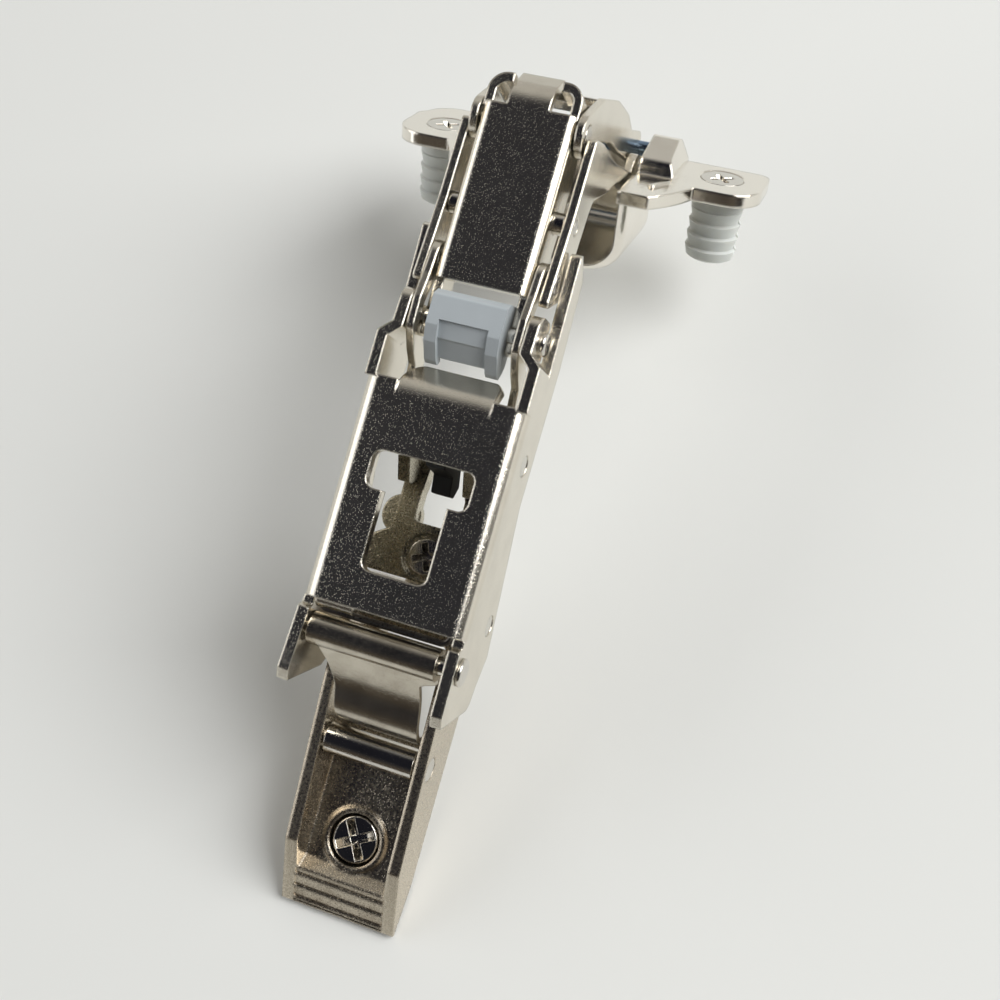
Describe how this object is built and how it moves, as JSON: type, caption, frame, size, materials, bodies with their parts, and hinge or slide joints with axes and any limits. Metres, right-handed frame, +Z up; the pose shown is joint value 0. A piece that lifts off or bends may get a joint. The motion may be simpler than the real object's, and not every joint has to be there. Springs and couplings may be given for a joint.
{
  "type": "concealed cup hinge",
  "caption": "Wide-angle concealed cup hinge: clip-on arm with adjusting screws, folding link train and a dowelled cup, shown open.",
  "frame": {"origin": "middle of the clip body's flat underside, where it sits on its mounting plate", "axes": "+X forward along the arm to the cup, +Y to the left along the pins, +Z up away from the mounting plate"},
  "size_m": [0.1248, 0.0582, 0.0463],
  "materials": {
    "zinc_casting": "nickel-plated zinc die-casting, fine sand texture",
    "nickel_sheet": "nickel-plated sheet steel",
    "nickel_pin": "nickel-plated turned steel",
    "blued_pin": "bright blue-passivated steel",
    "spring_steel": "oiled spring wire",
    "grey_plastic": "moulded grey acetal",
    "black_plastic": "moulded black polyamide",
    "white_nylon": "natural white polyamide"
  },
  "bodies": {
    "clip_base": {"clip_body": "zinc_casting", "catch_pin": "nickel_pin"},
    "depth_screw": {"depth_screw": "nickel_pin"},
    "arm": {"arm_channel": "nickel_sheet", "tilt_pin": "nickel_pin", "clip_pin": "nickel_pin", "clip_spring": "spring_steel", "adjusting_carrier": "zinc_casting", "stop_block": "black_plastic", "front_pivot_pin": "nickel_pin", "short_link_pin": "nickel_pin", "closing_spring": "spring_steel", "spring_saddle": "grey_plastic"},
    "side_screw": {"side_screw": "nickel_pin"},
    "clip_plate": {"clip_plate": "nickel_sheet"},
    "cover": {"cover_link": "nickel_sheet", "cross_pin": "nickel_pin", "front_pin": "nickel_pin"},
    "outer_links": {"outer_link_left": "nickel_sheet", "outer_link_right": "nickel_sheet", "link_rivets": "nickel_pin"},
    "short_links": {"short_link_left": "nickel_sheet", "short_link_right": "nickel_sheet"},
    "cup_link": {"cup_link": "nickel_sheet", "cup_pin": "blued_pin"},
    "cup": {"cup": "zinc_casting", "outer_cup_pins": "nickel_pin", "dowel_left": "white_nylon", "dowel_right": "white_nylon"},
    "dowel_screw_left": {"dowel_screw_left": "nickel_pin"},
    "dowel_screw_right": {"dowel_screw_right": "nickel_pin"}
  },
  "joints": [
    {"name": "arm_tilt", "type": "hinge", "parent": "clip_base", "child": "arm", "pos_m": [0.0262, 0, 0.00975], "axis": [0, -1, 0], "range_deg": [-1.7, 1.7]},
    {"name": "side_screw_turn", "type": "hinge", "parent": "arm", "child": "side_screw", "pos_m": [0.0328, 0, 0.0097], "axis": [0, 0, 1], "range_deg": [-90, 90]},
    {"name": "depth_screw_turn", "type": "hinge", "parent": "clip_base", "child": "depth_screw", "pos_m": [-0.0082, 0, 0.0049], "axis": [0, 0, 1], "continuous": true},
    {"name": "clip_plate_swing", "type": "hinge", "parent": "arm", "child": "clip_plate", "pos_m": [0.0199, 0, 0.0183], "axis": [0, 1, 0], "range_deg": [0, 15], "stiffness_Nm_per_rad": 0.05, "springref_deg": -11.46},
    {"name": "cover_fold", "type": "hinge", "parent": "arm", "child": "cover", "pos_m": [0.0641, 0, 0.0172], "axis": [0, -1, 0], "range_deg": [0, 50.3]},
    {"name": "short_fold", "type": "hinge", "parent": "arm", "child": "short_links", "pos_m": [0.04803, 0, 0.01524], "axis": [0, -1, 0], "range_deg": [0, 33.62]},
    {"name": "outer_fold", "type": "hinge", "parent": "cover", "child": "outer_links", "pos_m": [0.08052, 0, 0.01624], "axis": [0, -1, 0], "range_deg": [-50.72, 0]},
    {"name": "cup_link_fold", "type": "hinge", "parent": "cover", "child": "cup_link", "pos_m": [0.09255, 0, 0.01687], "axis": [0, -1, 0], "range_deg": [-50.62, 0]},
    {"name": "cup_fold", "type": "hinge", "parent": "cup_link", "child": "cup", "pos_m": [0.1025, 0, -0.0123], "axis": [0, -1, 0], "range_deg": [0, 143.72]},
    {"name": "dowel_screw_left_turn", "type": "hinge", "parent": "cup", "child": "dowel_screw_left", "pos_m": [0.09989, 0.0225, -0.0109], "axis": [0.809, 0, 0.5878], "continuous": true},
    {"name": "dowel_screw_right_turn", "type": "hinge", "parent": "cup", "child": "dowel_screw_right", "pos_m": [0.09989, -0.0225, -0.0109], "axis": [0.809, 0, 0.5878], "continuous": true}
  ],
  "couplings": [
    {"joint": "side_screw_turn", "follows": "arm_tilt", "ratio": 51.76},
    {"joint": "short_fold", "follows": "cover_fold", "ratio": 0.668},
    {"joint": "outer_fold", "follows": "cover_fold", "ratio": -1.008},
    {"joint": "cup_link_fold", "follows": "cover_fold", "ratio": -1.006},
    {"joint": "cup_fold", "follows": "cover_fold", "ratio": 2.8569}
  ]
}
